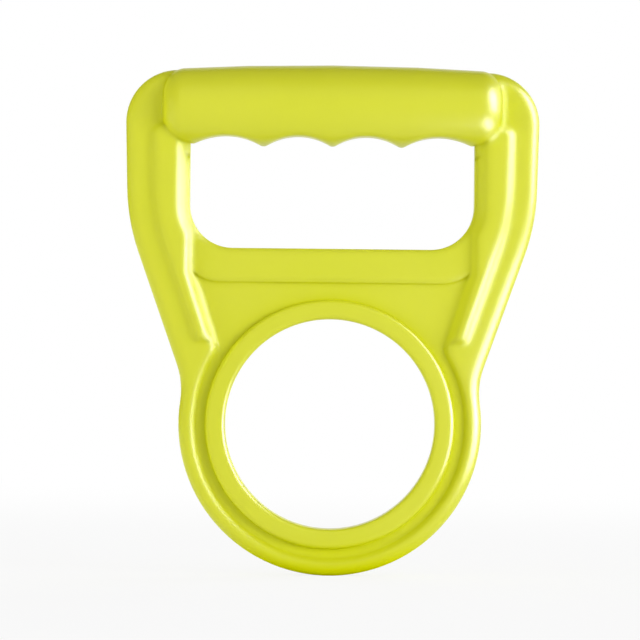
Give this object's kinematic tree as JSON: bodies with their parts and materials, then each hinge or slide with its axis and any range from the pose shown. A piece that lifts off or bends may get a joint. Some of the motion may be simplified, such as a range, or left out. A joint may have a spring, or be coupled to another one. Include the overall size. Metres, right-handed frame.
{
  "type": "bottle carrying handle",
  "caption": "Lime green moulded plastic carrying handle for a large water bottle, with a neck ring, raised arms and a thick cross grip with finger hollows.",
  "frame": {"origin": "centre of the neck bore, at the middle of its depth", "axes": "+Z from the neck bore up towards the grip, -Y out of the front face with the ridges, +X to the right seen from the front"},
  "size_m": [0.119, 0.024, 0.1469],
  "materials": {
    "lime_plastic": "satin"
  },
  "bodies": {
    "root": {"frame": "lime_plastic", "grip_back_cover": "lime_plastic", "neck_ring": "lime_plastic"}
  },
  "joints": []
}
